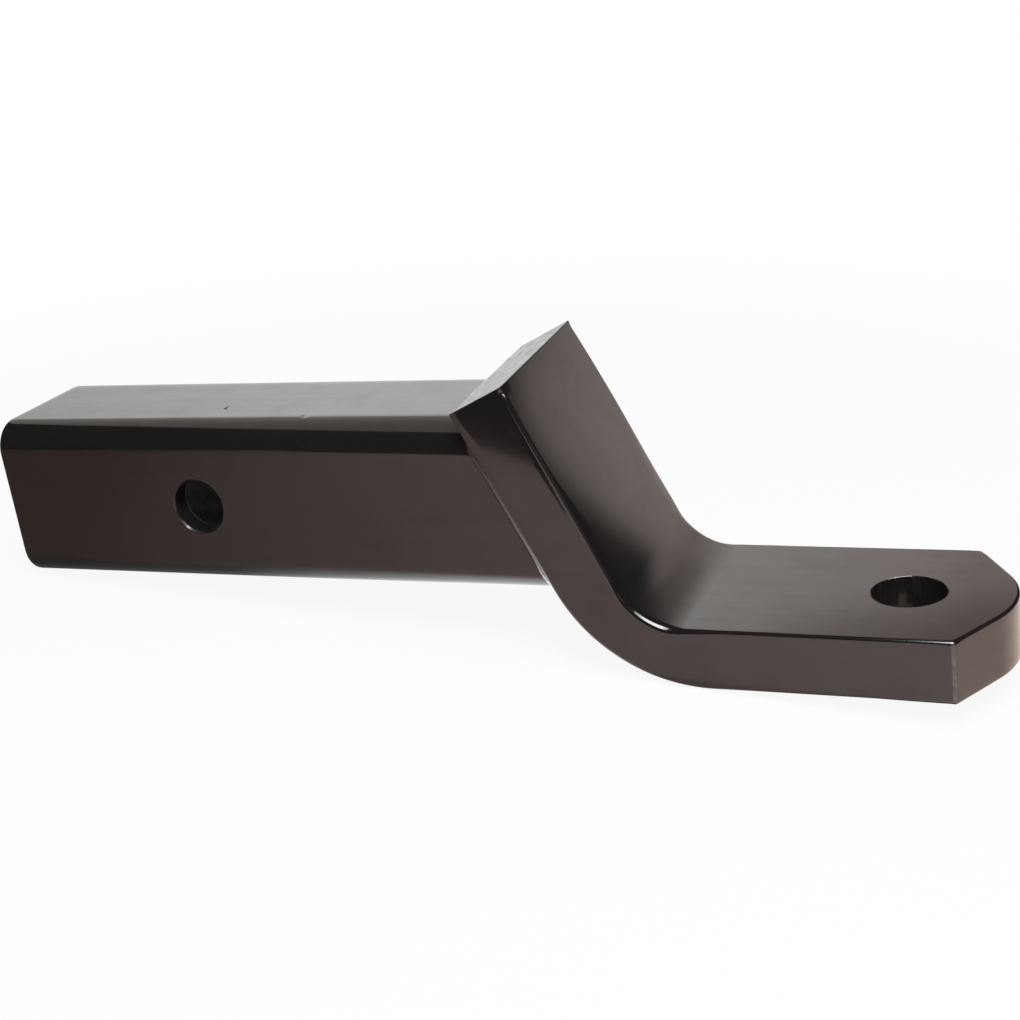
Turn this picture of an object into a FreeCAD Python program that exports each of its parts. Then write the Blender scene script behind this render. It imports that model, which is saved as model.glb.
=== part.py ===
import FreeCAD, Part
import math
import os
import Sketcher

# Hitch drawbar: a square tube shank, a bent flat-bar tongue, and the fillet weld that joins them.
# Millimetres. The origin is the centre of the hitch pin hole, on the axis of the shank.
# +X runs along the shank to the ball end, +Y across it, +Z up.

os.makedirs("parts", exist_ok=True)
doc = FreeCAD.newDocument("hitch_drawbar")
sheet = doc.addObject("Spreadsheet::Sheet", "Sizes")

SIZES = {
    # Shank: cold-formed square tube
    "shank_side": 50.8,          # outside, across the flats
    "shank_wall": 6.35,
    "shank_corner": 9.1,         # radius of the outside corners
    "shank_bore_corner": 2.6,    # radius of the inside corners
    "shank_behind_pin": 70.0,    # pin hole centre to the open rear end
    "pin_hole_dia": 16.7,
    "joint_ahead_of_pin": 103.2,  # where the shank's axis meets the back of the tongue
    "broken_edge": 0.45,         # chamfer on the sawn rear end and round the pin hole
    # Tongue: one flat bar, bent once
    "bar_width": 60.3,
    "bar_thickness": 18.0,
    "tongue_slope": 65.0,        # degrees below the shank's axis
    "end_above_axis": 34.1,      # up the slope, from the shank's axis to the sheared end
    "deck_drop": 31.3,           # from the shank's axis down to the top of the level deck
    "bend_inner_radius": 19.2,
    "bend_outer_radius": 48.4,   # more than inner radius plus thickness: the bend is thinned
    "rolled_edge": 1.3,          # radius on the four long edges of the bar
    # Sheared upper end of the tongue
    "shear_skew": 2.6,           # degrees out of square
    "shear_draw": 1.3,           # how far the shear pulled in each side at the end
    "shear_draw_length": 28.0,   # how far down the sides that reaches
    "shear_edge_break": 0.8,
    # Deck and nose
    "ball_ahead_of_pin": 205.0,
    "ball_hole_dia": 20.6,
    "ball_hole_break": 0.4,
    "nose_past_ball": 28.8,
    "nose_radius": 28.0,
    "nose_flank": 30.0,          # degrees that each clipped corner leans back from square
    "nose_edge_break": 1.2,
    # Weld all round the shank
    "weld_leg": 3.2,
    "weld_face": 2.6,            # how far the sloping face of the bead cuts into each leg
}

for row, (alias, value) in enumerate(SIZES.items(), start=1):
    sheet.set("A%d" % row, alias)
    sheet.set("B%d" % row, str(value))
    sheet.setAlias("B%d" % row, alias)
doc.recompute()

# Places of a sketch's own geometry, and its fixed references
START, END, CENTRE = range(1, 4)
ORIGIN = (-1, START)
HORIZONTAL_AXIS = -1

# Cosines: a normal within 8 degrees of a direction points along it, and one within half a
# degree of the plane across it is square to it
ALONG = math.cos(math.radians(8))
SQUARE = math.sin(math.radians(0.5))


def size(alias):
    """The number that the sheet holds under an alias."""
    return float(sheet.get(alias))


def point(x, y):
    """A point of a sketch."""
    return FreeCAD.Vector(x, y, 0)


# Start values for the sketches that show the tongue from the side
SLOPE = math.radians(size("tongue_slope"))
DECK_TOP = -size("deck_drop")
DECK_BOTTOM = DECK_TOP - size("bar_thickness")
UP_SLOPE = FreeCAD.Vector(-math.cos(SLOPE), 0, math.sin(SLOPE))
FRONT = FreeCAD.Vector(math.sin(SLOPE), 0, math.cos(SLOPE))


def new_body(label):
    """An empty body whose label names its file."""
    body = doc.addObject("PartDesign::Body", label)
    body.Label = label
    return body


def new_sketch(body, name, support):
    """A sketch on one of the body's own faces or, given its role, on an origin plane."""
    if isinstance(support, str):
        planes = [item for item in body.Origin.OriginFeatures if item.Role == support]
        support = (planes[0], "")
    sketch = body.newObject("Sketcher::SketchObject", name)
    sketch.AttachmentSupport = [support]
    sketch.MapMode = "FlatFace"
    return sketch


def relate(sketch, kind, *refs):
    """A constraint without a number."""
    sketch.addConstraint(Sketcher.Constraint(kind, *refs))


def bind(sketch, kind, refs, rule):
    """A constraint whose number follows the sheet."""
    value = sketch.evalExpression(rule)
    value = float(getattr(value, "Value", value))
    if kind == "Angle":
        value = math.radians(value)
    index = sketch.addConstraint(Sketcher.Constraint(kind, *refs, value))
    sketch.setExpression("Constraints[%d]" % index, rule)


def polyline(sketch, points):
    """Straight lines from point to point, joined end to start; returns their numbers."""
    lines = []
    for here, there in zip(points, points[1:]):
        lines.append(sketch.addGeometry(Part.LineSegment(here, there)))
    for line, following in zip(lines, lines[1:]):
        relate(sketch, "Coincident", line, END, following, START)
    return lines


def arc_geometry(sketch, centre, radius, start_angle, end_angle):
    """An arc, drawn anticlockwise between two angles in radians."""
    ring = Part.Circle(centre, FreeCAD.Vector(0, 0, 1), radius)
    return sketch.addGeometry(Part.ArcOfCircle(ring, start_angle, end_angle))


def crossing_point(sketch, line, x, rule):
    """Makes a line cross the horizontal axis at x; returns the construction point there."""
    crossing = sketch.addGeometry(Part.Point(point(x, 0)), True)
    relate(sketch, "PointOnObject", crossing, START, line)
    relate(sketch, "PointOnObject", crossing, START, HORIZONTAL_AXIS)
    bind(sketch, "DistanceX", (*ORIGIN, crossing, START), rule)
    return crossing


def rounded_square(sketch, side, side_rule, corner, corner_rule):
    """A square with round corners, centred on the origin of the sketch."""
    flat = side / 2 - corner
    lines = []
    arcs = []
    for turn in range(4):
        angle = turn * math.pi / 2
        out = point(math.cos(angle), math.sin(angle))
        along = point(-math.sin(angle), math.cos(angle))
        middle = out * (side / 2)
        lines.append(sketch.addGeometry(Part.LineSegment(middle - along * flat,
                                                         middle + along * flat)))
        arcs.append(arc_geometry(sketch, (out + along) * flat, corner,
                                 angle, angle + math.pi / 2))
    for turn in range(4):
        relate(sketch, "Tangent", lines[turn], END, arcs[turn], START)
        relate(sketch, "Tangent", arcs[turn], END, lines[(turn + 1) % 4], START)
    for arc in arcs[1:]:
        relate(sketch, "Equal", arcs[0], arc)
    for line in lines[::2]:
        relate(sketch, "Vertical", line)
    for line in lines[1::2]:
        relate(sketch, "Horizontal", line)
    relate(sketch, "Symmetric", arcs[0], CENTRE, arcs[2], CENTRE, *ORIGIN)
    bind(sketch, "Distance", (lines[0], START, lines[2]), side_rule)
    bind(sketch, "Distance", (lines[1], START, lines[3]), side_rule)
    bind(sketch, "Radius", (arcs[0],), corner_rule)


def cut_through(body, name, sketch):
    """A pocket through everything, both ways from its sketch; it has to remove something."""
    before = body.Shape.Volume
    pocket = body.newObject("PartDesign::Pocket", name)
    pocket.Profile = sketch
    pocket.Type = "ThroughAll"
    pocket.SideType = "Symmetric"
    doc.recompute()
    if not body.Shape.Volume < before:
        raise RuntimeError(name + " removes nothing")


def dress(body, kind, name, amount, rule, *pairs):
    """A fillet or a chamfer on the last feature. Each pair of tests picks the edges between a
    face that passes one and a face that passes the other; a test gets the face's outward
    normal at the middle of the edge, and that middle."""
    base = body.Tip
    edges = []
    for number, edge in enumerate(base.Shape.Edges, start=1):
        middle = edge.valueAt((edge.FirstParameter + edge.LastParameter) / 2)
        faces = base.Shape.ancestorsOfType(edge, Part.Face)
        if len(faces) == 2:
            one, other = [face.normalAt(*face.Surface.parameter(middle)) for face in faces]
            for first, second in pairs:
                if (first(one, middle) and second(other, middle)
                        or first(other, middle) and second(one, middle)):
                    edges.append("Edge%d" % number)
    dressed = body.newObject("PartDesign::" + kind, name)
    dressed.Base = (base, edges)
    dressed.setExpression(amount, rule)
    doc.recompute()


def any_face(normal, middle):
    """Every face."""
    return True


# Side view of the tongue


def on_slope(down, out):
    """The point so far down the back of the tongue from the shank's axis, and out from it."""
    x = size("joint_ahead_of_pin") + down * math.cos(SLOPE) + out * math.sin(SLOPE)
    return point(x, out * math.cos(SLOPE) - down * math.sin(SLOPE))


def bend_centre(out, height):
    """The point at that distance out from the back of the tongue, and at that height."""
    return on_slope((out * math.cos(SLOPE) - height) / math.sin(SLOPE), out)


def bend_arc(sketch, centre, radius, radius_rule):
    """An arc from the slope round to the level deck; returns it and its upper end."""
    arc = arc_geometry(sketch, centre, radius, 3 * math.pi / 2 - SLOPE, 3 * math.pi / 2)
    bind(sketch, "Radius", (arc,), radius_rule)
    return arc, centre - point(math.sin(SLOPE), math.cos(SLOPE)) * radius


def back_of_tongue(sketch, length_up):
    """The back of the slope, upwards, and the outer bend below it; returns the line, the arc
    and the point where the line crosses the shank's axis."""
    radius = size("bend_outer_radius")
    centre = bend_centre(radius, DECK_BOTTOM + radius)
    arc, foot = bend_arc(sketch, centre, radius, "Sizes.bend_outer_radius")
    line = sketch.addGeometry(Part.LineSegment(foot, on_slope(-length_up, 0)))
    relate(sketch, "Tangent", arc, START, line, START)
    bind(sketch, "Angle", (line,), "(180 - Sizes.tongue_slope) * 1 deg")
    crossing = crossing_point(sketch, line, size("joint_ahead_of_pin"),
                              "Sizes.joint_ahead_of_pin")
    return line, arc, crossing


def tongue_outline(sketch):
    """The bent bar from the side, square at both ends and long enough for its skewed shear."""
    skew_rise = size("bar_width") / 2 * math.tan(math.radians(size("shear_skew")))
    length_up = size("end_above_axis") + skew_rise
    thickness = size("bar_thickness")
    radius = size("bend_inner_radius")
    tip = size("ball_ahead_of_pin") + size("nose_past_ball")
    back, outer, crossing = back_of_tongue(sketch, length_up)
    inner_centre = bend_centre(thickness + radius, DECK_TOP + radius)
    inner, inner_foot = bend_arc(sketch, inner_centre, radius, "Sizes.bend_inner_radius")
    end, front = polyline(sketch, [on_slope(-length_up, 0), on_slope(-length_up, thickness),
                                   inner_foot])
    outer_foot = sketch.getPoint(outer, END)
    top, nose, bottom = polyline(sketch, [point(inner_centre.x, DECK_TOP), point(tip, DECK_TOP),
                                          point(tip, DECK_BOTTOM),
                                          point(outer_foot.x, DECK_BOTTOM)])
    relate(sketch, "Coincident", back, END, end, START)
    relate(sketch, "Tangent", front, END, inner, START)
    relate(sketch, "Tangent", inner, END, top, START)
    relate(sketch, "Tangent", bottom, END, outer, END)
    relate(sketch, "Horizontal", top)
    relate(sketch, "Horizontal", bottom)
    relate(sketch, "Vertical", nose)
    relate(sketch, "Perpendicular", back, end)
    relate(sketch, "Parallel", back, front)
    bind(sketch, "Distance", (crossing, START, back, END),
         "Sizes.end_above_axis + Sizes.bar_width / 2 * tan(Sizes.shear_skew * 1 deg)")
    bind(sketch, "Distance", (end,), "Sizes.bar_thickness")
    bind(sketch, "Distance", (nose,), "Sizes.bar_thickness")
    bind(sketch, "DistanceY", (top, END, *ORIGIN), "Sizes.deck_drop")
    bind(sketch, "DistanceX", (*ORIGIN, top, END),
         "Sizes.ball_ahead_of_pin + Sizes.nose_past_ball")


def sheared_end_outline(sketch):
    """All that the shear took off the square end: it cut out of square and drew the sides in.
    The sketch lies on the front of the slope, with its origin at the foot of the global one,
    its first axis up the slope and its second across the bar, towards -Y."""
    end_rule = "Sizes.end_above_axis - Sizes.joint_ahead_of_pin * cos(Sizes.tongue_slope * 1 deg)"
    end = size("end_above_axis") - size("joint_ahead_of_pin") * math.cos(SLOPE)
    half = size("bar_width") / 2
    draw = size("shear_draw")
    reach = size("shear_draw_length")
    radius = (reach ** 2 + draw ** 2) / (2 * draw)
    sweep = math.atan2(reach, radius - draw)
    start = end - reach
    beyond = end + reach
    outside = half + reach
    drop = (half - draw) * math.tan(math.radians(size("shear_skew")))
    near = arc_geometry(sketch, point(start, half - radius), radius,
                        math.pi / 2 - sweep, math.pi / 2)
    far = arc_geometry(sketch, point(start, radius - half), radius,
                       -math.pi / 2, -math.pi / 2 + sweep)
    cut = sketch.addGeometry(Part.LineSegment(point(end - drop, half - draw),
                                              point(end + drop, draw - half)))
    far_ledge, far_side, above, near_side, near_ledge = polyline(
        sketch, [point(start, -half), point(start, -outside), point(beyond, -outside),
                 point(beyond, outside), point(start, outside), point(start, half)])
    relate(sketch, "Coincident", near, START, cut, START)
    relate(sketch, "Coincident", cut, END, far, END)
    relate(sketch, "Coincident", far, START, far_ledge, START)
    relate(sketch, "Coincident", near, END, near_ledge, END)
    for line in (far_ledge, above, near_ledge):
        relate(sketch, "Vertical", line)
    for line in (far_side, near_side):
        relate(sketch, "Horizontal", line)
    for arc, place in ((near, END), (far, START)):
        relate(sketch, "Vertical", arc, CENTRE, arc, place)
        bind(sketch, "DistanceX", (*ORIGIN, arc, place), end_rule + " - Sizes.shear_draw_length")
    bind(sketch, "DistanceY", (*ORIGIN, near, END), "Sizes.bar_width / 2")
    bind(sketch, "DistanceY", (far, START, *ORIGIN), "Sizes.bar_width / 2")
    relate(sketch, "Equal", near, far)
    bind(sketch, "Radius", (near,), "(Sizes.shear_draw_length ^ 2 + Sizes.shear_draw ^ 2)"
                                    " / (2 * Sizes.shear_draw)")
    crossing_point(sketch, cut, end, end_rule)
    bind(sketch, "Angle", (cut,), "(Sizes.shear_skew - 90) * 1 deg")
    for line in (far_ledge, near_ledge):
        bind(sketch, "Distance", (line,), "Sizes.shear_draw_length")
    bind(sketch, "DistanceX", (far_side, START, far_side, END), "2 * Sizes.shear_draw_length")


def nose_outline(sketch):
    """All that is cut away round the nose: two clipped corners that run into one arc."""
    half = size("bar_width") / 2
    radius = size("nose_radius")
    flank = math.radians(size("nose_flank"))
    tip = size("ball_ahead_of_pin") + size("nose_past_ball")
    centre = tip - radius
    touch = point(centre + radius * math.cos(flank), radius * math.sin(flank))
    corner = touch.x - (half - touch.y) * math.tan(flank)
    beyond = tip + radius
    outside = half + radius
    arc = arc_geometry(sketch, point(centre, 0), radius, -flank, flank)
    far_flank, far_side, far_edge, ahead, near_edge, near_side, near_flank = polyline(
        sketch, [touch, point(corner, half), point(corner, outside), point(beyond, outside),
                 point(beyond, -outside), point(corner, -outside), point(corner, -half),
                 point(touch.x, -touch.y)])
    relate(sketch, "Tangent", arc, END, far_flank, START)
    relate(sketch, "Tangent", near_flank, END, arc, START)
    relate(sketch, "PointOnObject", arc, CENTRE, HORIZONTAL_AXIS)
    bind(sketch, "DistanceX", (*ORIGIN, arc, CENTRE),
         "Sizes.ball_ahead_of_pin + Sizes.nose_past_ball - Sizes.nose_radius")
    bind(sketch, "Radius", (arc,), "Sizes.nose_radius")
    bind(sketch, "Angle", (far_flank,), "(90 + Sizes.nose_flank) * 1 deg")
    bind(sketch, "Angle", (near_flank,), "(90 - Sizes.nose_flank) * 1 deg")
    bind(sketch, "DistanceY", (*ORIGIN, far_flank, END), "Sizes.bar_width / 2")
    bind(sketch, "DistanceY", (near_flank, START, *ORIGIN), "Sizes.bar_width / 2")
    for line in (far_side, ahead, near_side):
        relate(sketch, "Vertical", line)
    for line in (far_edge, near_edge):
        relate(sketch, "Horizontal", line)
    for line in (far_side, near_side):
        bind(sketch, "Distance", (line,), "Sizes.nose_radius")
    bind(sketch, "DistanceX", (arc, CENTRE, ahead, START), "2 * Sizes.nose_radius")


def circle_on_axis(sketch, x, x_rule, diameter, diameter_rule):
    """A circle whose centre lies on the horizontal axis of the sketch."""
    ring = sketch.addGeometry(Part.Circle(point(x, 0), FreeCAD.Vector(0, 0, 1), diameter / 2))
    relate(sketch, "PointOnObject", ring, CENTRE, HORIZONTAL_AXIS)
    bind(sketch, "DistanceX", (*ORIGIN, ring, CENTRE), x_rule)
    bind(sketch, "Diameter", (ring,), diameter_rule)


# Tongue: the bar is bent, sheared, clipped and pierced, then its edges are broken


def is_side(normal, middle):
    """The two sides of the bar."""
    return abs(normal.y) > ALONG


def is_sheared_end(normal, middle):
    """The upper end."""
    return normal.dot(UP_SLOPE) > ALONG


def is_rolled_face(normal, middle):
    """The wide faces of the bar, flat and bent."""
    return abs(normal.y) < SQUARE and not is_sheared_end(normal, middle)


def is_level(normal, middle):
    """The top and the underside of the deck."""
    return abs(normal.z) > ALONG


def is_nose(normal, middle):
    """The round of the nose and its clipped corners."""
    hole_front = size("ball_ahead_of_pin") + size("ball_hole_dia") / 2
    return normal.x > SQUARE and middle.x > hole_front


def is_ball_hole(normal, middle):
    """The wall of the ball hole."""
    from_centre = math.hypot(middle.x - size("ball_ahead_of_pin"), middle.y)
    return abs(normal.z) < SQUARE and from_centre < size("ball_hole_dia")


tongue = new_body("tongue_bar")
side_view = new_sketch(tongue, "tongue_side_view", "XZ_Plane")
tongue_outline(side_view)
bar = tongue.newObject("PartDesign::Pad", "bent_bar")
bar.Profile = side_view
bar.SideType = "Symmetric"
bar.setExpression("Length", "Sizes.bar_width")
doc.recompute()

front_faces = []
for number, face in enumerate(bar.Shape.Faces, start=1):
    if face.Surface.TypeId == "Part::GeomPlane" and face.normalAt(0, 0).dot(FRONT) > ALONG:
        front_faces.append("Face%d" % number)
shear_view = new_sketch(tongue, "sheared_end_view", (bar, front_faces[0]))
sheared_end_outline(shear_view)
cut_through(tongue, "sheared_end", shear_view)

nose_view = new_sketch(tongue, "nose_view", "XY_Plane")
nose_outline(nose_view)
cut_through(tongue, "nose", nose_view)

ball_view = new_sketch(tongue, "ball_hole_view", "XY_Plane")
circle_on_axis(ball_view, size("ball_ahead_of_pin"), "Sizes.ball_ahead_of_pin",
               size("ball_hole_dia"), "Sizes.ball_hole_dia")
cut_through(tongue, "ball_hole", ball_view)

dress(tongue, "Fillet", "rolled_edges", "Radius", "Sizes.rolled_edge",
      (is_side, is_rolled_face))
dress(tongue, "Fillet", "sheared_end_edges", "Radius", "Sizes.shear_edge_break",
      (is_sheared_end, any_face))
dress(tongue, "Fillet", "nose_edges", "Radius", "Sizes.nose_edge_break",
      (is_level, is_nose))
dress(tongue, "Chamfer", "ball_hole_rims", "Size", "Sizes.ball_hole_break",
      (is_level, is_ball_hole))


def slanted_block(sketch, crossing_rule, edge_rule):
    """All that lies between a line parallel to the back of the tongue and an upright edge, one
    shank side up and down from the axis."""
    reach = size("shank_side")
    shift = reach / math.tan(SLOPE)
    crossing = float(sketch.evalExpression(crossing_rule))
    edge = float(sketch.evalExpression(edge_rule))
    slant, low, upright, high = polyline(
        sketch, [point(crossing - shift, reach), point(crossing + shift, -reach),
                 point(edge, -reach), point(edge, reach), point(crossing - shift, reach)])
    relate(sketch, "Coincident", high, END, slant, START)
    relate(sketch, "Horizontal", low)
    relate(sketch, "Horizontal", high)
    relate(sketch, "Vertical", upright)
    bind(sketch, "Angle", (slant,), "-Sizes.tongue_slope * 1 deg")
    bind(sketch, "DistanceY", (*ORIGIN, slant, START), "Sizes.shank_side")
    bind(sketch, "DistanceY", (slant, END, *ORIGIN), "Sizes.shank_side")
    bind(sketch, "DistanceX", (*ORIGIN, upright, START), edge_rule)
    crossing_point(sketch, slant, crossing, crossing_rule)


# Shank: a length of tube, sawn square behind and at the tongue's slant in front


def is_rear_end(normal, middle):
    """The sawn end behind."""
    return normal.x < -ALONG


def is_pin_hole(normal, middle):
    """The wall of the pin hole."""
    return abs(normal.y) < SQUARE and math.hypot(middle.x, middle.z) < size("pin_hole_dia")


def is_outer_side(normal, middle):
    """The two outer sides of the tube."""
    return normal.y * middle.y > ALONG * abs(middle.y)


shank = new_body("shank_tube")
tube_section = new_sketch(shank, "tube_section", "YZ_Plane")
rounded_square(tube_section, size("shank_side"), "Sizes.shank_side",
               size("shank_corner"), "Sizes.shank_corner")
rounded_square(tube_section, size("shank_side") - 2 * size("shank_wall"),
               "Sizes.shank_side - 2 * Sizes.shank_wall",
               size("shank_bore_corner"), "Sizes.shank_bore_corner")
tube = shank.newObject("PartDesign::Pad", "square_tube")
tube.Profile = tube_section
tube.SideType = "Two sides"
tube.setExpression("Length", "Sizes.joint_ahead_of_pin + Sizes.shank_side")
tube.setExpression("Length2", "Sizes.shank_behind_pin")
doc.recompute()

saw_view = new_sketch(shank, "saw_cut_view", "XZ_Plane")
slanted_block(saw_view, "Sizes.joint_ahead_of_pin",
              "Sizes.joint_ahead_of_pin + 2 * Sizes.shank_side")
cut_through(shank, "slanted_saw_cut", saw_view)

pin_view = new_sketch(shank, "pin_hole_view", "XZ_Plane")
pin_circle = pin_view.addGeometry(
    Part.Circle(point(0, 0), FreeCAD.Vector(0, 0, 1), size("pin_hole_dia") / 2))
relate(pin_view, "Coincident", pin_circle, CENTRE, *ORIGIN)
bind(pin_view, "Diameter", (pin_circle,), "Sizes.pin_hole_dia")
cut_through(shank, "pin_hole", pin_view)

dress(shank, "Chamfer", "broken_edges", "Size", "Sizes.broken_edge",
      (is_rear_end, any_face), (is_outer_side, is_pin_hole))


# Weld: a ring round the shank, cut to the tongue's back and bevelled to a fillet


def is_bead_back(normal, middle):
    """The face of the ring that looks back along the shank."""
    return normal.dot(FRONT) < -ALONG


def is_bead_outside(normal, middle):
    """The faces of the ring that look away from the shank."""
    return normal.y * middle.y + normal.z * middle.z > 0


def tongue_and_beyond(sketch):
    """All that lies ahead of the tongue's back and its outer bend."""
    reach = size("shank_side")
    back, outer, crossing = back_of_tongue(sketch, reach / math.sin(SLOPE))
    foot = sketch.getPoint(outer, END)
    high, upright, low = polyline(
        sketch, [sketch.getPoint(back, END), point(foot.x + reach, reach),
                 point(foot.x + reach, DECK_BOTTOM), foot])
    relate(sketch, "Coincident", back, END, high, START)
    relate(sketch, "Tangent", low, END, outer, END)
    relate(sketch, "Horizontal", high)
    relate(sketch, "Vertical", upright)
    relate(sketch, "Horizontal", low)
    bind(sketch, "DistanceY", (*ORIGIN, back, END), "Sizes.shank_side")
    bind(sketch, "DistanceY", (outer, END, *ORIGIN), "Sizes.deck_drop + Sizes.bar_thickness")
    bind(sketch, "DistanceX", (outer, END, upright, START), "Sizes.shank_side")


weld = new_body("weld_bead")
bead_section = new_sketch(weld, "bead_section", "YZ_Plane")
rounded_square(bead_section, size("shank_side") + 2 * size("weld_leg"),
               "Sizes.shank_side + 2 * Sizes.weld_leg",
               size("shank_corner") + size("weld_leg"), "Sizes.shank_corner + Sizes.weld_leg")
rounded_square(bead_section, size("shank_side"), "Sizes.shank_side",
               size("shank_corner"), "Sizes.shank_corner")
collar = weld.newObject("PartDesign::Pad", "collar")
collar.Profile = bead_section
collar.setExpression("Length", "Sizes.joint_ahead_of_pin + Sizes.shank_side")
doc.recompute()

bead_back_view = new_sketch(weld, "bead_back_view", "XZ_Plane")
slanted_block(bead_back_view,
              "Sizes.joint_ahead_of_pin - Sizes.weld_leg / sin(Sizes.tongue_slope * 1 deg)",
              "-Sizes.shank_side")
cut_through(weld, "bead_back", bead_back_view)

bead_front_view = new_sketch(weld, "bead_front_view", "XZ_Plane")
tongue_and_beyond(bead_front_view)
cut_through(weld, "bead_front", bead_front_view)

dress(weld, "Chamfer", "bead_face", "Size", "Sizes.weld_face",
      (is_bead_back, is_bead_outside))


for body in (shank, tongue, weld):
    for item in body.Group:
        if "Invalid" in item.State or "Error" in item.State:
            raise RuntimeError(item.Name + " did not build")
    if body.Shape.isNull() or not body.Shape.isValid():
        raise RuntimeError(body.Label + " is not a valid solid")
    body.Shape.exportStep("parts/" + body.Label + ".step")
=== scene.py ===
# Looks of the hitch drawbar: its coated tube, bent bar and weld, and the plain studio it is seen in.

import math

import bmesh
import bpy
from mathutils import Matrix, Vector, noise


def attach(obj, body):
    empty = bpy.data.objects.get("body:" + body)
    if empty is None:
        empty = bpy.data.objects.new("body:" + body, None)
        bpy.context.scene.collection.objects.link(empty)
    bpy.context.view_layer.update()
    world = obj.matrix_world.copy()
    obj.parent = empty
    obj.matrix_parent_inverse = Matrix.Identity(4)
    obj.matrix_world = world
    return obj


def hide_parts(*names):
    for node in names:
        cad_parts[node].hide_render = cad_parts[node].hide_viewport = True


bl_info = {
    "name": "Hitch Drawbar Dressing",
    "version": (1, 0, 0),
    "blender": (4, 5, 0),
    "location": "View3D > Sidebar > Drawbar",
    "description": "Builds the coated tube, bent bar and weld of a hitch drawbar round its packed frame",
    "category": "Object",
}

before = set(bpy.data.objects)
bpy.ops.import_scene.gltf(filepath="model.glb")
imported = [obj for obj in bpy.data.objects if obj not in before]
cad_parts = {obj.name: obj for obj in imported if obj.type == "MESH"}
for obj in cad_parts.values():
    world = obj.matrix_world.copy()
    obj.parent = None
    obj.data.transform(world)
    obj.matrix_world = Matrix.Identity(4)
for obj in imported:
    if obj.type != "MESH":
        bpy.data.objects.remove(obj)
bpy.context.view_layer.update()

MM = 0.001
SLOPE = math.radians(65)
UP_SLOPE = Vector((-math.cos(SLOPE), 0, math.sin(SLOPE)))
ACROSS = Vector((0, 1, 0))
SHARP_ANGLE = 30.0

# The floor leans, because the drawbar lies on it with the tube's rear edge and the outside of the bend.
FLOOR_UP = Vector((0.10588, 0, 0.99438))
FLOOR_POINT = Vector((-70, 0, -25.45)) * MM


def mixed(low, high, part):
    return low + (high - low) * part


def eased(part):
    part = min(max(part, 0.0), 1.0)
    return part * part * (3 - 2 * part)


def along_table(table, place):
    """Reads a table of (place, value) pairs with eased steps between its rows."""
    if place <= table[0][0]:
        return table[0][1]
    for (start, before), (end, after) in zip(table, table[1:]):
        if place <= end:
            return mixed(before, after, eased((place - start) / (end - start)))
    return table[-1][1]


def spread(start, end, steps):
    return [mixed(start, end, step / steps) for step in range(steps + 1)]


# Property groups


class DrawbarShankSizes(bpy.types.PropertyGroup):
    """Sizes of the square tube"""

    side: bpy.props.FloatProperty(
        name="Side", description="Outside width of the square tube in mm", default=50.8, min=20)
    wall: bpy.props.FloatProperty(
        name="Wall", description="Wall thickness of the tube in mm", default=6.35, min=1)
    corner: bpy.props.FloatProperty(
        name="Corner", description="Outside corner radius in mm", default=9.1, min=1)
    bore_corner: bpy.props.FloatProperty(
        name="Bore corner", description="Inside corner radius in mm", default=2.6, min=0.5)
    behind_pin: bpy.props.FloatProperty(
        name="Behind pin", description="Length behind the pin hole in mm", default=70, min=20)
    joint_ahead: bpy.props.FloatProperty(
        name="Joint ahead", description="Pin hole to the joint on the axis in mm", default=103.2, min=20)
    pin_radius: bpy.props.FloatProperty(
        name="Pin hole radius", description="Radius of the pin hole in mm", default=8.35, min=1)
    edge_break: bpy.props.FloatProperty(
        name="Edge break", description="Size of the broken edges in mm", default=0.45, min=0.05)
    rear_break: bpy.props.FloatProperty(
        name="Rear break", description="Size of the rounded outer edge of the rear end in mm",
        default=1.2, min=0.05)


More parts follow.
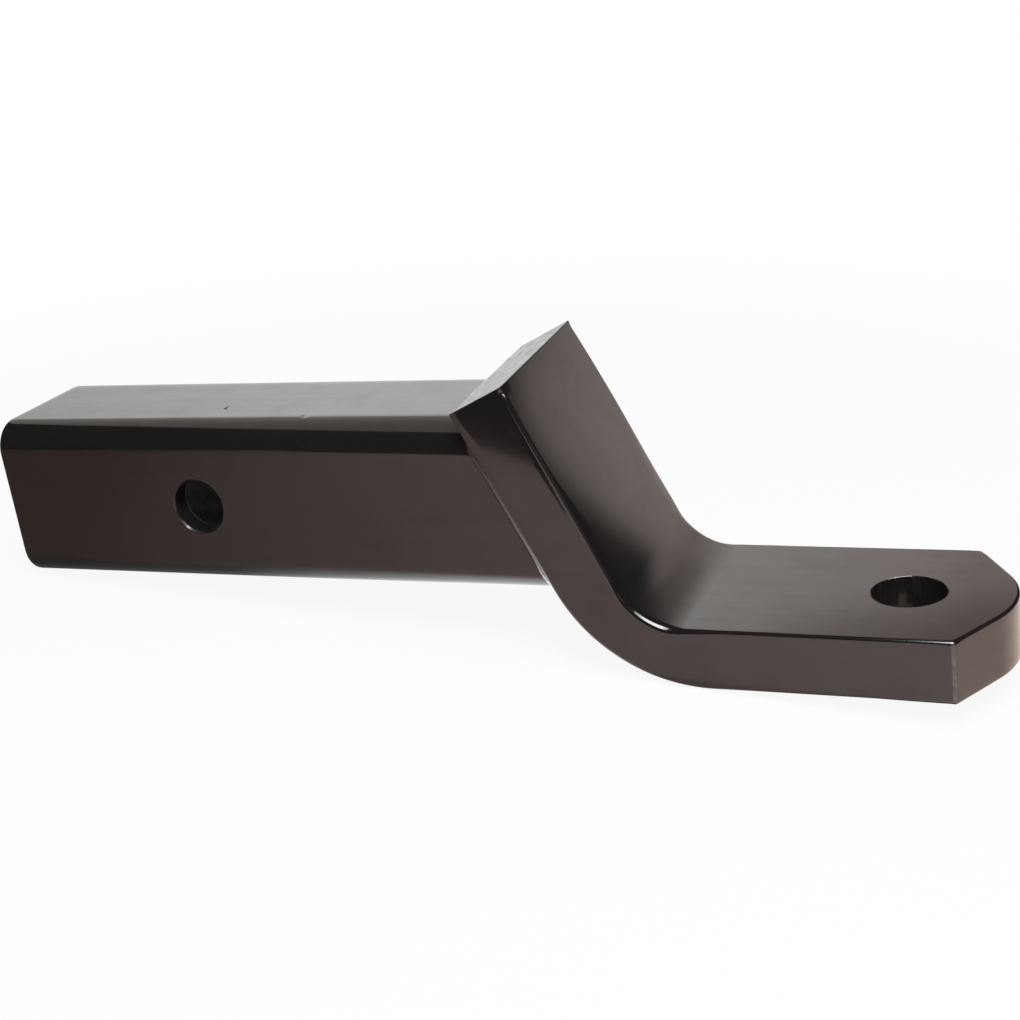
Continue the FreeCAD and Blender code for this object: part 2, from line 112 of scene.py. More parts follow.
class DrawbarTongueSizes(bpy.types.PropertyGroup):
    """Sizes of the bent bar"""

    half_width: bpy.props.FloatProperty(
        name="Half width", description="Half the width of the bar in mm", default=30.15, min=10)
    thickness: bpy.props.FloatProperty(
        name="Thickness", description="Thickness of the bar in mm", default=18, min=5)
    end_up: bpy.props.FloatProperty(
        name="End up", description="Axis to the sheared end along the slope in mm", default=34.1, min=10)
    deck_drop: bpy.props.FloatProperty(
        name="Deck drop", description="Axis down to the top of the deck in mm", default=31.3, min=5)
    inner_bend: bpy.props.FloatProperty(
        name="Inner bend", description="Radius inside the bend in mm", default=19.2, min=5)
    outer_bend: bpy.props.FloatProperty(
        name="Outer bend", description="Radius outside the bend in mm", default=48.4, min=10)
    rolled_edge: bpy.props.FloatProperty(
        name="Rolled edge", description="Radius of the rolled long edges in mm", default=1.0, min=0.1)
    low_edge: bpy.props.FloatProperty(
        name="Low edge", description="Radius of the long edges of the outer face in mm", default=2.0, min=0.1)
    nose_edge: bpy.props.FloatProperty(
        name="Nose edge", description="Radius of the edges round the nose in mm", default=0.8, min=0.1)
    nose_corner: bpy.props.FloatProperty(
        name="Nose corner", description="Radius of the two upright corners of the nose in mm",
        default=1.6, min=0.1)
    sheared_edge: bpy.props.FloatProperty(
        name="Sheared edge", description="Radius of the edges of the sheared end in mm",
        default=0.25, min=0.1)
    skew: bpy.props.FloatProperty(
        name="Skew", description="How far the sheared end is out of square at its side in mm", default=1.31)
    draw_in: bpy.props.FloatProperty(
        name="Draw in", description="How far the sheared end is narrowed on each side in mm", default=1.3)
    draw_length: bpy.props.FloatProperty(
        name="Draw length", description="Length over which it is narrowed in mm", default=28, min=1)
    ball_ahead: bpy.props.FloatProperty(
        name="Ball ahead", description="Pin hole to the ball hole in mm", default=205, min=50)
    ball_radius: bpy.props.FloatProperty(
        name="Ball hole radius", description="Radius of the ball hole in mm", default=10.3, min=2)
    ball_break: bpy.props.FloatProperty(
        name="Ball hole break", description="Size of the broken rims of the ball hole in mm", default=0.12)
    nose_past_ball: bpy.props.FloatProperty(
        name="Nose past ball", description="Ball hole to the tip in mm", default=28.8, min=5)
    nose_radius: bpy.props.FloatProperty(
        name="Nose radius", description="Radius of the tip in mm", default=28, min=5)
    nose_flank: bpy.props.FloatProperty(
        name="Nose flank", description="Angle at which the corners are clipped", subtype="ANGLE",
        default=math.radians(30))
    edge_swell: bpy.props.FloatProperty(
        name="Edge swell", description="How far the sides swell inside the bend in mm", default=0.7, min=0)
    corner_drop: bpy.props.FloatProperty(
        name="Corner drop", description="How far the near corner of the sheared end is rolled down in mm",
        default=0.45, min=0)


class DrawbarWeldSizes(bpy.types.PropertyGroup):
    """Sizes of the weld"""

    leg: bpy.props.FloatProperty(
        name="Leg", description="Leg of the fillet weld in mm", default=3.2, min=0.5)
    ripple: bpy.props.FloatProperty(
        name="Ripple", description="Distance between two ripples of the weld in mm", default=1.7, min=0.3)
    ripple_height: bpy.props.FloatProperty(
        name="Ripple height", description="Height of the ripples in mm", default=0.22, min=0)


class DrawbarCoat(bpy.types.PropertyGroup):
    """Colour and gloss of the coat"""

    colour: bpy.props.FloatVectorProperty(
        name="Colour", description="Colour of the coat", subtype="COLOR", size=3, min=0, max=1,
        default=(0.0110, 0.0094, 0.0095))
    thin_colour: bpy.props.FloatVectorProperty(
        name="Thin colour", description="Colour where the coat is thin", subtype="COLOR", size=3,
        min=0, max=1, default=(0.0145, 0.0122, 0.0120))
    skin_roughness: bpy.props.FloatProperty(
        name="Skin roughness", description="Roughness of the glossy skin of the coat",
        default=0.08, min=0, max=1)
    body_roughness: bpy.props.FloatProperty(
        name="Body roughness", description="Roughness of the coat under its skin",
        default=0.11, min=0, max=1)
    bare_colour: bpy.props.FloatVectorProperty(
        name="Bare colour", description="Colour inside the tube, where hardly any coat reached",
        subtype="COLOR", size=3, min=0, max=1, default=(0.13, 0.138, 0.13))
    dusty_colour: bpy.props.FloatVectorProperty(
        name="Dusty colour", description="Colour of the dusty patches inside", subtype="COLOR", size=3,
        min=0, max=1, default=(0.20, 0.206, 0.195))
    pale_corner_colour: bpy.props.FloatVectorProperty(
        name="Pale corner colour", description="Colour of the paler upright nose corners", subtype="COLOR", size=3,
        min=0, max=1, default=(0.135, 0.125, 0.122))
    matt_roughness: bpy.props.FloatProperty(
        name="Matt roughness", description="Roughness of the coat on cut faces", default=0.34, min=0, max=1)


class DrawbarStudio(bpy.types.PropertyGroup):
    """Light and camera"""

    background: bpy.props.FloatProperty(
        name="Background", description="Strength of the pale ground", default=1.0, min=0)
    surround: bpy.props.FloatProperty(
        name="Surround", description="Strength of the soft light from the room", default=0.35, min=0)
    mirrored_room: bpy.props.FloatProperty(
        name="Mirrored room", description="Strength of the dark room in reflections", default=0.012, min=0)
    key_power: bpy.props.FloatProperty(
        name="Key power", description="Power of the overhead lamp in watts", default=5.6, min=0)
    lens: bpy.props.FloatProperty(
        name="Lens", description="Focal length of the camera in mm", default=57.35, min=10)


# Shader tools


class Wire:
    """One value in a material. Sums and products of it add Math nodes."""

    def __init__(self, finish, socket):
        self.finish = finish
        self.socket = socket

    def maths(self, operation, *values):
        return self.finish.node("ShaderNodeMath", {"operation": operation}, dict(enumerate(values)))

    def __add__(self, other):
        return self.maths("ADD", self, other)

    def __radd__(self, other):
        return self.maths("ADD", other, self)

    def __sub__(self, other):
        return self.maths("SUBTRACT", self, other)

    def __rsub__(self, other):
        return self.maths("SUBTRACT", other, self)

    def __mul__(self, other):
        return self.maths("MULTIPLY", self, other)

    def __rmul__(self, other):
        return self.maths("MULTIPLY", other, self)

    def __truediv__(self, other):
        return self.maths("DIVIDE", self, other)

    def __rtruediv__(self, other):
        return self.maths("DIVIDE", other, self)

    def __pow__(self, other):
        return self.maths("POWER", self, other)

    def __rpow__(self, other):
        return self.maths("POWER", other, self)

    def __abs__(self):
        return self.maths("ABSOLUTE", self)

    def larger(self, other):
        """The larger of this value and another."""
        return self.maths("MAXIMUM", self, other)

    def ramp(self, start, end):
        """0 below start, 1 above end, and smooth between them."""
        sockets = {"Value": self, "From Min": start, "From Max": end}
        return self.finish.node("ShaderNodeMapRange", {"interpolation_type": "SMOOTHSTEP"}, sockets)


class Finish:
    """A material or the world, while its nodes are laid out."""

    def __init__(self, owner):
        self.owner = owner
        owner.use_nodes = True
        self.tree = owner.node_tree
        self.tree.nodes.clear()

    def make(self, kind, settings=None, sockets=None):
        """A new node. Its settings come first, then the values or links of its sockets."""
        made = self.tree.nodes.new(kind)
        for name, value in (settings or {}).items():
            if name == "stops":
                self.set_stops(made.color_ramp, value)
            else:
                setattr(made, name, value)
        for name, value in (sockets or {}).items():
            if isinstance(value, Wire):
                self.tree.links.new(value.socket, made.inputs[name])
            else:
                made.inputs[name].default_value = value
        return made

    def node(self, kind, settings=None, sockets=None, give=0):
        """One output of a new node."""
        return Wire(self, self.make(kind, settings, sockets).outputs[give])

    def set_stops(self, color_ramp, stops):
        while len(color_ramp.elements) > 1:
            color_ramp.elements.remove(color_ramp.elements[-1])
        for number, (place, value) in enumerate(stops):
            stop = color_ramp.elements[0] if number == 0 else color_ramp.elements.new(place)
            stop.position = place
            stop.color = (*value, 1) if isinstance(value, tuple) else (value, value, value, 1)

    def place(self):
        return self.node("ShaderNodeTexCoord", give="Object")

    def stretched(self, scale):
        """The place on the piece, scaled apart along the three axes."""
        return self.node("ShaderNodeVectorMath", {"operation": "MULTIPLY"}, {0: self.place(), 1: scale})

    def grain(self, scale, detail, rough, at=None):
        sockets = {"Vector": at or self.place(), "Scale": scale, "Detail": detail, "Roughness": rough}
        return self.node("ShaderNodeTexNoise", None, sockets)

    def axes(self):
        """The x, y and z of the place on the piece."""
        split = self.make("ShaderNodeSeparateXYZ", None, {0: self.place()})
        return [Wire(self, output) for output in split.outputs]

    def shade(self, part, low, high):
        """A colour between two colours, each of them a constant or a wire."""
        low, high = [tone if isinstance(tone, Wire) else (*tone, 1) for tone in (low, high)]
        return self.node("ShaderNodeMix", {"data_type": "RGBA"}, {0: part, 6: low, 7: high}, give=2)

    def toned(self, value, stops):
        """A colour read at a value from (value, tone) stops."""
        start, end = stops[0][0], stops[-1][0]
        placed = [((place - start) / (end - start), tone) for place, tone in stops]
        return self.node("ShaderNodeValToRGB", {"stops": placed}, {0: (value - start) / (end - start)})

    def light_path(self, *kinds):
        """1 for rays of each of the named kinds, and 0 for others."""
        path = self.make("ShaderNodeLightPath")
        return [Wire(self, path.outputs["Is " + kind + " Ray"]) for kind in kinds]

    def glow(self, colour, strength=1.0):
        return self.node("ShaderNodeEmission", None, {"Color": colour, "Strength": strength})

    def clear(self):
        return self.node("ShaderNodeBsdfTransparent")

    def blend(self, part, first, second):
        return self.node("ShaderNodeMixShader", None, {0: part, 1: first, 2: second})

    def relief(self, height, depth, onto=None):
        """A Bump node that raises a height of 1 by depth in metres, on top of another relief."""
        sockets = {"Height": height, "Distance": depth, "Strength": 1.0}
        if onto is not None:
            sockets["Normal"] = onto
        return self.node("ShaderNodeBump", None, sockets)

    def close(self, shader, output="ShaderNodeOutputMaterial"):
        """Shows the shader, and gives back the material or world."""
        self.make(output, None, {"Surface": shader})
        return self.owner


# How fine the coat's patterns are, in cells per metre
CLOUD_GRAIN = 28
WAVE_GRAIN = 34
HAZE_GRAIN = 70
PEEL_GRAIN = 330
PATCH_GRAIN = 420
FINE_GRAIN = 900
SPECKLE_GRAIN = 2100
DRAWN_GRAIN = (16, 330, 330)

# The coat's index of refraction, and how deep in mm the tool marks show through it
COAT_IOR = 1.5
MARK_DEPTH = 0.05


def coat_material(name, wave, peel, speckle, zones=None):
    """Gloss black coat. wave, peel and speckle are the depths in mm of its three reliefs.

    zones gives the masks of its matt, bare and paler places, and the height of the tool marks in the
    matt ones.
    """
    coat = bpy.context.scene.drawbar_coat
    finish = Finish(bpy.data.materials.new(name))
    cloud = finish.grain(CLOUD_GRAIN, 3, 0.55)
    fine = finish.grain(FINE_GRAIN, 2, 0.6)
    colour = finish.shade((cloud * 0.7 + fine * 0.3).ramp(0.35, 0.65), coat.colour, coat.thin_colour)
    broad = finish.relief(finish.grain(WAVE_GRAIN, 1.0, 0.4), wave * MM)
    skin = finish.relief(finish.grain(PEEL_GRAIN, 2.0, 0.5), peel * MM, onto=broad)
    relief = finish.relief(finish.grain(SPECKLE_GRAIN, 1.0, 0.5), speckle * MM, onto=skin)
    rough = coat.body_roughness + (fine - 0.5) * 0.05 + (cloud - 0.5) * 0.05
    haze = finish.grain(HAZE_GRAIN, 4, 0.6).ramp(0.42, 0.75)
    drawn = finish.grain(1.0, 4, 0.6, at=finish.stretched(DRAWN_GRAIN)).ramp(0.4, 0.7)
    gloss = 1 - haze * 0.18 - drawn * 0.10
    if zones is not None:
        matt, bare, pale_corner, marks = zones(finish)
        patches = finish.grain(PATCH_GRAIN, 4, 0.65).ramp(0.35, 0.68)
        colour = finish.shade(bare, colour, finish.shade(patches, coat.bare_colour, coat.dusty_colour))
        # Paler colour where the zones ask for it, at the nose's upright corners
        colour = finish.shade(pale_corner * (0.35 + patches * 0.65), colour, coat.pale_corner_colour)
        rough = rough + matt * (coat.matt_roughness - coat.body_roughness + (patches - 0.5) * 0.12)
        gloss = gloss * (1 - matt * (0.02 + patches * 0.36)) * (1 - bare * 0.8)
        relief = finish.relief(marks * matt, MARK_DEPTH * MM, onto=relief)
    return finish.close(finish.node("ShaderNodeBsdfPrincipled", None, {
        "Base Color": colour,
        "Roughness": rough,
        "IOR": COAT_IOR,
        "Coat Weight": gloss,
        "Coat Roughness": coat.skin_roughness,
        "Coat IOR": COAT_IOR,
        "Normal": relief,
    }))


# Mesh tools


def smooth(mesh, sharp=SHARP_ANGLE):
    """Smooth shading, except at edges sharper than the angle in degrees."""
    mesh.shade_smooth()
    mesh.set_sharp_from_angle(angle=math.radians(sharp))


def piece_from(name, maker, material, sharp=SHARP_ANGLE):
    """A new object from a bmesh."""
    mesh = bpy.data.meshes.new(name)
    maker.normal_update()
    maker.to_mesh(mesh)
    maker.free()
    mesh.materials.append(material)
    smooth(mesh, sharp)
    piece = bpy.data.objects.new(name, mesh)
    bpy.context.collection.objects.link(piece)
    return piece


def apply_modifiers(piece):
    """Makes the result of the modifiers the piece's own mesh."""
    bpy.context.view_layer.update()
    graph = bpy.context.evaluated_depsgraph_get()
    made = bpy.data.meshes.new_from_object(piece.evaluated_get(graph))
    piece.modifiers.clear()
    old = piece.data
    piece.data = made
    made.name = piece.name
    bpy.data.meshes.remove(old)


def cut_with(piece, cutter):
    """Takes the cutter out of the piece and throws the cutter away."""
    modifier = piece.modifiers.new("cut", "BOOLEAN")
    modifier.operation = "DIFFERENCE"
    modifier.solver = "EXACT"
    modifier.object = cutter
    apply_modifiers(piece)
    bpy.data.meshes.remove(cutter.data)


def bridge_loops(maker, first, second):
    """A band of faces between two closed loops of as many points."""
    count = len(first)
    for step in range(count):
        after = (step + 1) % count
        maker.faces.new((first[step], first[after], second[after], second[step]))


def still(row, round_):
    """No wobble."""
    return 0.0


def turned(name, profile, place, axis, steps, material, wobble=still):
    """A closed turned body for cutting: profile is (height along the axis, radius) in mm.

    wobble gives what is added to the radius, from the row of the profile and the way round.
    """
    maker = bmesh.new()
    turn = Vector((0, 0, 1)).rotation_difference(axis).to_matrix()
    rings = []
    for row, (height, radius) in enumerate(profile):
        ring = []
        for step in range(steps):
            angle = 2 * math.pi * step / steps
            round_ = Vector((math.cos(angle), math.sin(angle), 0))
            reach = radius + wobble(row, round_)
            spot = place + turn @ (round_ * reach + Vector((0, 0, height)))
            ring.append(maker.verts.new(spot * MM))
        rings.append(ring)
    for low, high in zip(rings, rings[1:]):
        bridge_loops(maker, low, high)
    maker.faces.new(list(reversed(rings[0])))
    maker.faces.new(rings[-1])
    bmesh.ops.recalc_face_normals(maker, faces=maker.faces)
    return piece_from(name, maker, material)


def bore_profile(low, high, radius, rim):
    """The profile of a hole from low to high with broken rims, which runs on past both faces."""
    past = 2
    return ((low - past, radius + rim + past), (low, radius + rim), (low + rim, radius),
            (high - rim, radius), (high, radius + rim), (high + past, radius + rim + past))


# The radius in mm of a nick at its two tips, and its rows and steps
NICK_POINT = 0.02
NICK_ROWS = 8
NICK_STEPS = 20


def nick(piece, middle, along, half_length, radius, depth, material):
    """A shallow spindle-shaped dent in an upper face. Sizes are in mm."""
    profile = [(half_length * part, NICK_POINT + radius * (1 - part * part))
               for part in spread(-1, 1, NICK_ROWS)]
    place = Vector(middle) + Vector((0, 0, radius - depth))
    cut_with(piece, turned("nick_cutter", profile, place, Vector(along).normalized(), NICK_STEPS, material))


# Bent bar


# The swell of the bar's sides in the bend, in mm: where it starts before the bend, where it is full inside
# it, and how much the outer face draws in there. The power keeps it close to the sides.
SWELL_BEFORE = 9.0
SWELL_INSIDE = 12.0
OUTER_PINCH = 0.35
SWELL_POWER = 6

# In mm: how far the rolled-down corner of the sheared end reaches along the bar and across it
DROP_LENGTH = 3.4
DROP_WIDTH = 5.0

# How the long edges of the inner face roll off along the bar: (q, tilt in degrees), (q, width in mm) and
# (q, share of the rolled edge's radius)
EDGE_TILTS = ((-34, 2), (-10, 2), (12, 5.5), (26, 6.5), (34, 6), (42, 4), (52, 2), (60, 2))
EDGE_WIDTHS = ((-34, 0.4), (-10, 0.6), (18, 4.6), (28, 4.8), (35, 1.8), (40, 0.8), (62, 0.5))
EDGE_SHARES = ((-34, 2.0), (-28, 1.0), (26, 1.0), (35, 2.1), (46, 2.3), (55, 1.3), (64, 0.9))

# The tilt in degrees and the width in mm of the roll-off at the nose and at the sheared end
NOSE_ROLL = (2, 0.4)
SHEARED_ROLL = (1, 0.3)

# In mm from the sheared end: where the long edges have their own shape, and where their points no longer
# lean away from it
OWN_EDGE = 1.5
LEANING_END = 4

# The roll over the nose's upright corners, in mm: how much smaller than them it is, how far from them it
# reaches, and over which length it fades
CORNER_LESS = 0.45
CORNER_REACH = 3.9
CORNER_FADE = 3

# In mm from the sheared end: where the low edge starts to grow, and over which length
LOW_EDGE_START = 2
LOW_EDGE_GROWTH = 14

# Steps of the bar's mesh along, across and through the bar, and in mm the stretches with steps of their own
END_RUN = 4
END_STEPS = 12
SLOPE_STEPS = 42
BEND_MARGIN = 3
BEND_STEPS = 60
DECK_STEPS = 44
CORNER_STEPS = 4
ACROSS_STEPS = 56
ROLL_STEPS = 7
TOP_EDGE_STEPS = 5
SIDE_STEPS = 9
LOW_EDGE_STEPS = 4

# How much closer together the columns lie towards the bar's sides
CROWDING = 0.35

# How far in mm from the nose and from the sheared end the rows start to bend to the outline
NOSE_BLEND = 45
REAR_BLEND = 24

# How ragged in mm the ball hole is, and the steps round it and round the pin hole
BURR = 0.10
BALL_HOLE_STEPS = 120
PIN_HOLE_STEPS = 96


class BentBar:
    """The bar laid flat: q runs down the bar, y across it and w through it from the outer face, 0 to 1."""

    def __init__(self, sizes):
        self.sizes = sizes
        self.joint_x = bpy.context.scene.drawbar_shank.joint_ahead
        inner = sizes.inner_bend
        outer = sizes.outer_bend
        thick = sizes.thickness
        sine, cosine = math.sin(SLOPE), math.cos(SLOPE)
        self.inner_down = ((thick + inner) * cosine + sizes.deck_drop - inner) / sine
        self.outer_down = (outer * cosine + sizes.deck_drop + thick - outer) / sine
        self.inner_x = self.joint_x + self.inner_down * cosine + (thick + inner) * sine
        self.outer_x = self.joint_x + self.outer_down * cosine + outer * sine
        self.inner_z = inner - sizes.deck_drop
        self.outer_z = outer - sizes.deck_drop - thick
        self.lead_in = self.inner_down - self.outer_down
        self.lead_out = self.outer_x - self.inner_x
        self.bend_length = self.lead_in + inner * SLOPE + self.lead_out
        self.bend_start = self.outer_down
        self.bend_end = self.bend_start + self.bend_length
        self.tip_x = sizes.ball_ahead + sizes.nose_past_ball
        self.nose_x = self.tip_x - sizes.nose_radius
        flank = sizes.nose_flank
        touch = sizes.nose_radius * math.cos(flank), sizes.nose_radius * math.sin(flank)
        self.touch_x, self.touch_y = self.nose_x + touch[0], touch[1]
        self.corner_x = self.touch_x - (sizes.half_width - self.touch_y) * math.tan(flank)
        self.corner_turn = math.pi / 2 - flank
        self.round_q = self.q_of_x(self.corner_x) - sizes.nose_corner * math.tan(self.corner_turn / 2)

    def q_of_x(self, x):
        return self.bend_end + x - self.outer_x

    def inner_point(self, q):
        """The point of the inner face at q, as x and z in mm."""
        sizes = self.sizes
        run = q - self.bend_start
        if run <= self.lead_in:
            down = self.bend_start + run
            return (self.joint_x + down * math.cos(SLOPE) + sizes.thickness * math.sin(SLOPE),
                    sizes.thickness * math.cos(SLOPE) - down * math.sin(SLOPE))
        arc = (run - self.lead_in) / sizes.inner_bend
        if arc <= SLOPE:
            lean = SLOPE - arc
            return (self.inner_x - sizes.inner_bend * math.sin(lean),
                    self.inner_z - sizes.inner_bend * math.cos(lean))
        return (self.outer_x + q - self.bend_end, -sizes.deck_drop)

    def outer_point(self, q):
        """The point of the outer face at q, as x and z in mm."""
        sizes = self.sizes
        part = (q - self.bend_start) / self.bend_length
        if part <= 0:
            return (self.joint_x + q * math.cos(SLOPE), -q * math.sin(SLOPE))
        if part <= 1:
            lean = SLOPE * (1 - part)
            return (self.outer_x - sizes.outer_bend * math.sin(lean),
                    self.outer_z - sizes.outer_bend * math.cos(lean))
        return (self.outer_x + q - self.bend_end, -sizes.deck_drop - sizes.thickness)

    def in_bend(self, q):
        """1 in the middle of the bend, and 0 outside it."""
        start = eased((q - self.bend_start + SWELL_BEFORE) / (SWELL_BEFORE + SWELL_INSIDE))
        end = eased((self.bend_end + SWELL_BEFORE - q) / (SWELL_BEFORE + SWELL_INSIDE))
        return start * end

    def spot(self, q, y, w):
        """The place in mm of a flat point."""
        inner = self.inner_point(q)
        outer = self.outer_point(q)
        x = mixed(outer[0], inner[0], w)
        z = mixed(outer[1], inner[1], w)
        reach = abs(y) / self.sizes.half_width
        swell = self.sizes.edge_swell * w ** 2 - OUTER_PINCH * (1 - w) ** 2
        swell = self.in_bend(q) * reach ** SWELL_POWER * swell
        drop = self.corner_drop(q, y) * w
        return Vector((x - drop * math.sin(SLOPE), y + math.copysign(swell, y), z - drop * math.cos(SLOPE)))

    def corner_drop(self, q, y):
        """How far the inner face is rolled down at the near corner of the sheared end."""
        sizes = self.sizes
        along = min(max(1 - (q - self.rear_q(y)) / DROP_LENGTH, 0), 1)
        aside = max(1 - (y + sizes.half_width - sizes.draw_in) / DROP_WIDTH, 0)
        return sizes.corner_drop * along ** 2 * min(aside, 1) ** 2

    def side_y(self, q):
        """Half the width at q, with the sheared end drawn in."""
        sizes = self.sizes
        past = max(sizes.draw_length - (q + sizes.end_up), 0) / sizes.draw_length
        turned_in = self.corner_inset(max(q - self.round_q, 0))
        return sizes.half_width - sizes.draw_in * past * past - turned_in

    def corner_inset(self, run):
        """How far the upright corner of the nose has turned in after a run along it."""
        radius = self.sizes.nose_corner
        return radius - math.sqrt(radius ** 2 - run ** 2)

    def nose_q(self, y):
        """The q of the outline at the nose."""
        sizes = self.sizes
        y = abs(y)
        inset = sizes.half_width - y
        radius = sizes.nose_corner
        if inset < radius * (1 - math.cos(self.corner_turn)):
            return self.round_q + math.sqrt(radius ** 2 - (radius - inset) ** 2)
        if y > self.touch_y:
            x = self.touch_x - (y - self.touch_y) * math.tan(sizes.nose_flank)
        else:
            x = self.nose_x + math.sqrt(sizes.nose_radius ** 2 - y * y)
        return self.q_of_x(x)

    def rear_q(self, y):
        """The q of the sheared end, which is lower on the near side."""
        sizes = self.sizes
        return -sizes.end_up - sizes.skew * y / (sizes.half_width - sizes.draw_in)


class PlanPoint:
    """One point of the flat outline, with the way inwards and the shape of its edges."""

    def __init__(self, q, y, inward, top_radius, low_radius, tilt, width):
        self.q = q
        self.y = y
        self.inward = inward
        self.top_radius = top_radius
        self.low_radius = low_radius
        self.tilt = tilt
        self.width = width

    def moved_in(self, inset):
        """The q and y of the point after a move inwards."""
        return self.q + self.inward.x * inset, self.y + self.inward.y * inset

    def top_profile(self):
        """(inset, drop) in mm from the inner face out and down to the side."""
        radius, tilt, width = self.top_radius, self.tilt, self.width
        start_inset = radius * (1 - math.sin(tilt))
        fall = width * math.tan(tilt) / 2
        sink = fall - radius * (1 - math.cos(tilt))
        profile = []
        for step in range(ROLL_STEPS):
            left = 1 - step / ROLL_STEPS
            profile.append((start_inset + width * left, fall * (1 - left) ** 2))
        for lean in spread(tilt, math.pi / 2, TOP_EDGE_STEPS):
            profile.append((radius * (1 - math.sin(lean)), sink + radius * (1 - math.cos(lean))))
        return profile

    def low_profile(self):
        """(inset, rise) in mm from the side down and in to the outer face."""
        radius = self.low_radius
        return [(radius * (1 - math.sin(lean)), radius * (1 - math.cos(lean)))
                for lean in spread(math.pi / 2, 0, LOW_EDGE_STEPS)]


def way_inwards(before, here, after):
    """The way that moves a point of the outline inwards, with both of its sides moving by 1."""
    into = (here - before).normalized()
    out = (after - here).normalized()
    normal = Vector((-into.y, into.x)) + Vector((-out.y, out.x))
    normal.normalize()
    return normal / max(normal.dot(Vector((-out.y, out.x))), 0.3)


def long_edge(bar, q, y, near):
    """The tilt, width and radius of a long edge's roll-off, which fade into the sheared end's."""
    ending = eased((q - bar.rear_q(y)) / OWN_EDGE)
    tilt = mixed(math.radians(SHEARED_ROLL[0]), math.radians(along_table(EDGE_TILTS, q)), ending)
    width = mixed(SHEARED_ROLL[1], along_table(EDGE_WIDTHS, q), ending)
    share = along_table(EDGE_SHARES, q) if near or q > 0 else 1.0
    return tilt, width, mixed(bar.sizes.sheared_edge, bar.sizes.rolled_edge * share, ending)


def plan_outline(bar, near_rows, far_rows, across):
    """The outline of the flat bar as a closed loop: near side, nose, far side, sheared end."""
    sizes = bar.sizes
    near_half, far_half = bar.side_y(near_rows[0]), bar.side_y(far_rows[0])
    near = [(q, -bar.side_y(q)) for q in near_rows]
    nose = [(bar.nose_q(y), y) for y in across[1:-1]]
    far = [(q, bar.side_y(q)) for q in reversed(far_rows)]
    rear_across = [y * (far_half if y > 0 else near_half) / across[-1] for y in reversed(across[1:-1])]
    rear = [(bar.rear_q(y), y) for y in rear_across]
    loop = near + nose + far + rear
    nose_start = len(near)
    far_start = nose_start + len(nose)
    rear_start = far_start + len(far)
    points = []
    for number, (q, y) in enumerate(loop):
        after = Vector(loop[(number + 1) % len(loop)])
        inward = way_inwards(Vector(loop[number - 1]), Vector((q, y)), after)
        on_near = number < nose_start
        on_side = on_near or far_start <= number < rear_start
        if on_side:
            tilt, width, radius = long_edge(bar, q, y, on_near)
            if number not in (0, rear_start - 1):
                inward.x += max(1 - (q - bar.rear_q(y)) / LEANING_END, 0)
        elif number < far_start:
            tilt, width, radius = math.radians(NOSE_ROLL[0]), NOSE_ROLL[1], sizes.nose_edge
        else:
            tilt, width, radius = math.radians(SHEARED_ROLL[0]), SHEARED_ROLL[1], sizes.sheared_edge
            inward.y -= y / (far_half if y > 0 else near_half)
        from_corner = math.hypot(q - bar.q_of_x(bar.corner_x), abs(y) - sizes.half_width)
        at_corner = eased((CORNER_REACH - from_corner) / CORNER_FADE)
        radius = mixed(radius, sizes.nose_corner - CORNER_LESS, at_corner)
        if on_side:
            grown = eased((q + sizes.end_up - LOW_EDGE_START) / LOW_EDGE_GROWTH)
            low_radius = mixed(sizes.sheared_edge, sizes.low_edge, grown)
        else:
            low_radius = min(radius, sizes.nose_edge)
        points.append(PlanPoint(q, y, inward, radius, low_radius, tilt, width))
    return points


def bar_rows(bar):
    """The q of the rows at the near side and at the far side, and the y of the columns, in mm."""
    sizes = bar.sizes
    half_turn = bar.corner_turn / 2
    bend_from, bend_to = bar.bend_start - BEND_MARGIN, bar.bend_end + BEND_MARGIN
    bend_on = spread(bend_from, bend_to, BEND_STEPS)[:-1] + spread(bend_to, bar.round_q, DECK_STEPS)[:-1]
    bend_on += [bar.round_q + sizes.nose_corner * math.sin(turn)
                for turn in spread(0, half_turn, CORNER_STEPS)]
    sides = []
    for side in (-1, 1):
        end = bar.rear_q(side * (sizes.half_width - sizes.draw_in))
        start = spread(end, end + END_RUN, END_STEPS)[:-1]
        sides.append(start + spread(end + END_RUN, bend_from, SLOPE_STEPS)[:-1] + bend_on)
    corner = [sizes.half_width - sizes.nose_corner * (1 - math.cos(turn))
              for turn in spread(bar.corner_turn, half_turn, CORNER_STEPS)]
    middle = [corner[0] * (math.sin(math.pi / 2 * part) * CROWDING + part * (1 - CROWDING))
              for part in spread(-1, 1, ACROSS_STEPS)]
    return sides[0], sides[1], [-y for y in reversed(corner[1:])] + middle + corner[1:]


